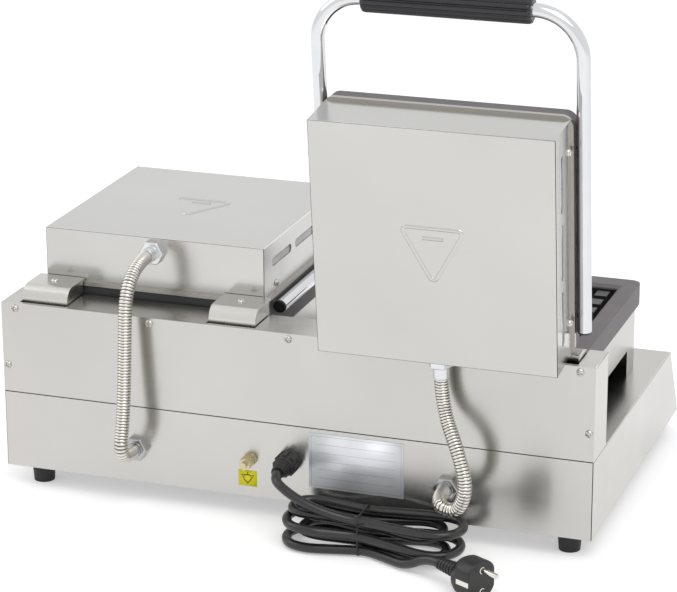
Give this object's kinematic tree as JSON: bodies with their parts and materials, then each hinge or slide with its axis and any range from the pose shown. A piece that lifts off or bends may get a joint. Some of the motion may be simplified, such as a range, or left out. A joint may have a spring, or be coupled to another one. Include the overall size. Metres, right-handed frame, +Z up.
{
  "type": "double belgian waffle maker",
  "caption": "Countertop waffle maker with two hinged grill lids on one sheet-steel base, looped chrome handles and studded iron plates.",
  "frame": {"origin": "middle of the rectangle round the object without its free cord, at the level of the feet's undersides", "axes": "+Z up, -Y towards the user and the controls, +X to the right as the user faces it from the front"},
  "size_m": [0.55, 0.48, 0.4942],
  "materials": {
    "stainless_body": "brushed stainless sheet, satin",
    "stainless_floor": "plain steel sheet",
    "rubber_feet": "matt black rubber",
    "steel_screws": "plain steel pan-head screws",
    "stainless_panel": "brushed stainless sheet",
    "steel_brackets": "plain steel",
    "pale_plastic": "off-white insulating moulding",
    "brass_terminal": "plain brass stud and nuts",
    "black_gland": "black moulded gland",
    "black_moulding": "black moulding",
    "amber_lens": "glossy amber lens",
    "dark_iron": "dark seasoned cast iron",
    "heater_sheath": "dulled steel heater sheath",
    "steel_pin": "turned steel",
    "nickel_gland": "nickel-plated brass",
    "steel_conduit": "bright ribbed steel hose",
    "black_knob": "matt black knob",
    "rocker_red": "glossy red rocker",
    "pale_steel_frame": "light satin steel",
    "stainless_lid": "bright brushed stainless sheet",
    "steel_straps": "plain steel strip",
    "chrome_tube": "polished chrome",
    "black_grip": "black fluted moulding",
    "black_plug": "black end plug",
    "black_cord": "black glossy cord sheath",
    "black_tie": "black wire tie",
    "black_plug_body": "black moulded plug",
    "brass_pins": "plated brass pins"
  },
  "bodies": {
    "base": {"base_chassis": "stainless_body", "base_floor": "stainless_floor", "feet": "rubber_feet", "body_screws": "steel_screws", "hinge_housing": "stainless_body", "rear_panel": "stainless_panel", "hinge_brackets": "steel_brackets", "terminal_block": "pale_plastic", "bonding_terminal": "brass_terminal", "cord_gland": "black_gland", "control_bodies": "black_moulding", "switch_bodies": "black_moulding", "pilot_lamps": "amber_lens", "left_lower_skirt": "stainless_body", "left_lower_plate": "dark_iron", "left_lower_element": "heater_sheath", "left_hinge_pin": "steel_pin", "left_base_gland": "nickel_gland", "left_conduit": "steel_conduit", "right_lower_skirt": "stainless_body", "right_lower_plate": "dark_iron", "right_lower_element": "heater_sheath", "right_hinge_pin": "steel_pin", "right_base_gland": "nickel_gland", "right_conduit": "steel_conduit", "cord_lead": "black_cord", "cord_hank": "black_cord", "cord_tail": "black_cord", "cord_tie": "black_tie", "plug": "black_plug_body", "plug_pins": "brass_pins"},
    "left_lid": {"left_upper_plate": "dark_iron", "left_upper_element": "heater_sheath", "left_lid_frame": "pale_steel_frame", "left_lid_cover": "stainless_lid", "left_lid_screws": "steel_screws", "left_lid_gland": "nickel_gland", "left_hinge_straps": "steel_straps", "left_hinge_knuckles": "steel_straps", "left_handle_tube": "chrome_tube", "left_handle_grip": "black_grip", "left_handle_plugs": "black_plug"},
    "right_lid": {"right_upper_plate": "dark_iron", "right_upper_element": "heater_sheath", "right_lid_frame": "pale_steel_frame", "right_lid_cover": "stainless_lid", "right_lid_screws": "steel_screws", "right_lid_gland": "nickel_gland", "right_hinge_straps": "steel_straps", "right_hinge_knuckles": "steel_straps", "right_handle_tube": "chrome_tube", "right_handle_grip": "black_grip", "right_handle_plugs": "black_plug"},
    "left_thermostat_knob": {"left_thermostat_knob": "black_knob"},
    "left_timer_knob": {"left_timer_knob": "black_knob"},
    "left_rocker": {"left_rocker": "rocker_red"},
    "right_thermostat_knob": {"right_thermostat_knob": "black_knob"},
    "right_timer_knob": {"right_timer_knob": "black_knob"},
    "right_rocker": {"right_rocker": "rocker_red"}
  },
  "joints": [
    {"name": "left_lid_hinge", "type": "hinge", "parent": "base", "child": "left_lid", "pos_m": [-0.1455, 0.1175, 0.17], "axis": [1, 0, 0], "range_deg": [0, 96.7], "deforming": ["left_conduit"]},
    {"name": "right_lid_hinge", "type": "hinge", "parent": "base", "child": "right_lid", "pos_m": [0.1455, 0.1175, 0.17], "axis": [-1, 0, 0], "range_deg": [0, 96.7], "deforming": ["right_conduit"]},
    {"name": "left_thermostat_knob_turn", "type": "hinge", "parent": "base", "child": "left_thermostat_knob", "pos_m": [-0.1695, -0.16797, 0.05236], "axis": [0, 0.8746, -0.4848], "range_deg": [0, 300]},
    {"name": "left_timer_knob_turn", "type": "hinge", "parent": "base", "child": "left_timer_knob", "pos_m": [-0.1135, -0.16797, 0.05236], "axis": [0, 0.8746, -0.4848], "range_deg": [0, 300]},
    {"name": "left_rocker_tip", "type": "hinge", "parent": "base", "child": "left_rocker", "pos_m": [-0.2235, -0.16535, 0.05091], "axis": [1, 0, 0], "range_deg": [0, 16]},
    {"name": "right_thermostat_knob_turn", "type": "hinge", "parent": "base", "child": "right_thermostat_knob", "pos_m": [0.1215, -0.16797, 0.05236], "axis": [0, 0.8746, -0.4848], "range_deg": [0, 300]},
    {"name": "right_timer_knob_turn", "type": "hinge", "parent": "base", "child": "right_timer_knob", "pos_m": [0.1775, -0.16797, 0.05236], "axis": [0, 0.8746, -0.4848], "range_deg": [0, 300]},
    {"name": "right_rocker_tip", "type": "hinge", "parent": "base", "child": "right_rocker", "pos_m": [0.0675, -0.16535, 0.05091], "axis": [1, 0, 0], "range_deg": [0, 16]}
  ]
}
